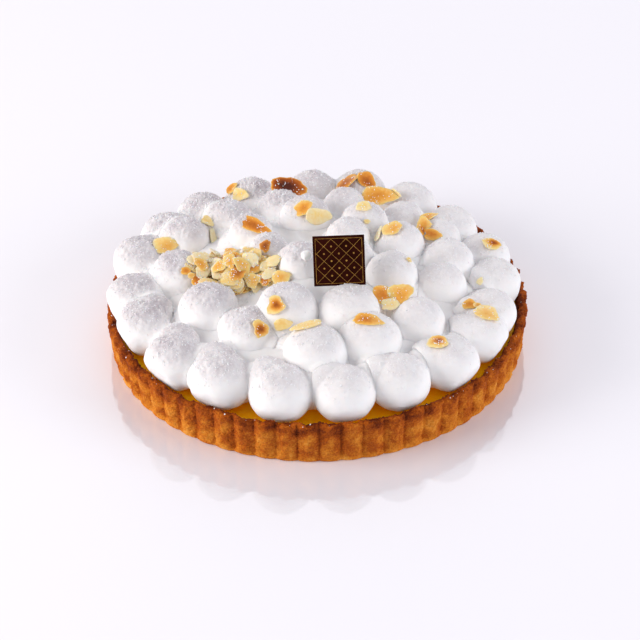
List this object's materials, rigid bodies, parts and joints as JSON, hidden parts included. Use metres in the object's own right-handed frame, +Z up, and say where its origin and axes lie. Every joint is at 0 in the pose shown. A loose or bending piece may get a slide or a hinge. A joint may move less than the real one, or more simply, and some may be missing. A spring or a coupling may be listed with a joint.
{
  "type": "lemon tart",
  "caption": "Round fluted pastry shell filled with set lemon curd, topped with a low dome of piped meringue mounds, toasted almond flakes and a small upright chocolate plaque",
  "frame": {"origin": "centre of the crust's flat underside, on the surface the tart stands on", "axes": "+Z up, +Y to the back of the tart, +X to its right, the plaque's face turned to -Y"},
  "size_m": [0.25, 0.2498, 0.0859],
  "materials": {
    "baked_crust": "matte baked shortcrust, golden brown with a darker rim",
    "lemon_curd": "glossy set curd",
    "meringue": "matte soft meringue dusted with icing sugar",
    "toasted_almond": "toasted almond flakes, pale cream to brown",
    "dark_chocolate": "satin dark chocolate with a thin gold-coloured print"
  },
  "bodies": {
    "root": {"crust": "baked_crust", "lemon_curd": "lemon_curd", "meringue_outer_01": "meringue", "meringue_outer_02": "meringue", "meringue_outer_03": "meringue", "meringue_outer_04": "meringue", "meringue_outer_05": "meringue", "meringue_outer_06": "meringue", "meringue_outer_07": "meringue", "meringue_outer_08": "meringue", "meringue_outer_09": "meringue", "meringue_outer_10": "meringue", "meringue_outer_11": "meringue", "meringue_outer_12": "meringue", "meringue_outer_13": "meringue", "meringue_outer_14": "meringue", "meringue_outer_15": "meringue", "meringue_outer_16": "meringue", "meringue_outer_17": "meringue", "meringue_outer_18": "meringue", "meringue_outer_19": "meringue", "meringue_outer_20": "meringue", "meringue_second_01": "meringue", "meringue_second_02": "meringue", "meringue_second_03": "meringue", "meringue_second_04": "meringue", "meringue_second_05": "meringue", "meringue_second_06": "meringue", "meringue_second_07": "meringue", "meringue_second_08": "meringue", "meringue_second_09": "meringue", "meringue_second_10": "meringue", "meringue_second_11": "meringue", "meringue_second_12": "meringue", "meringue_second_13": "meringue", "meringue_second_14": "meringue", "meringue_third_01": "meringue", "meringue_third_02": "meringue", "meringue_third_03": "meringue", "meringue_third_04": "meringue", "meringue_third_05": "meringue", "meringue_third_06": "meringue", "meringue_third_07": "meringue", "meringue_third_08": "meringue", "meringue_third_09": "meringue", "meringue_centre_01": "meringue", "meringue_centre_02": "meringue", "meringue_centre_03": "meringue", "meringue_centre_04": "meringue", "almond_heap": "toasted_almond", "chocolate_plaque": "dark_chocolate"}
  },
  "joints": []
}
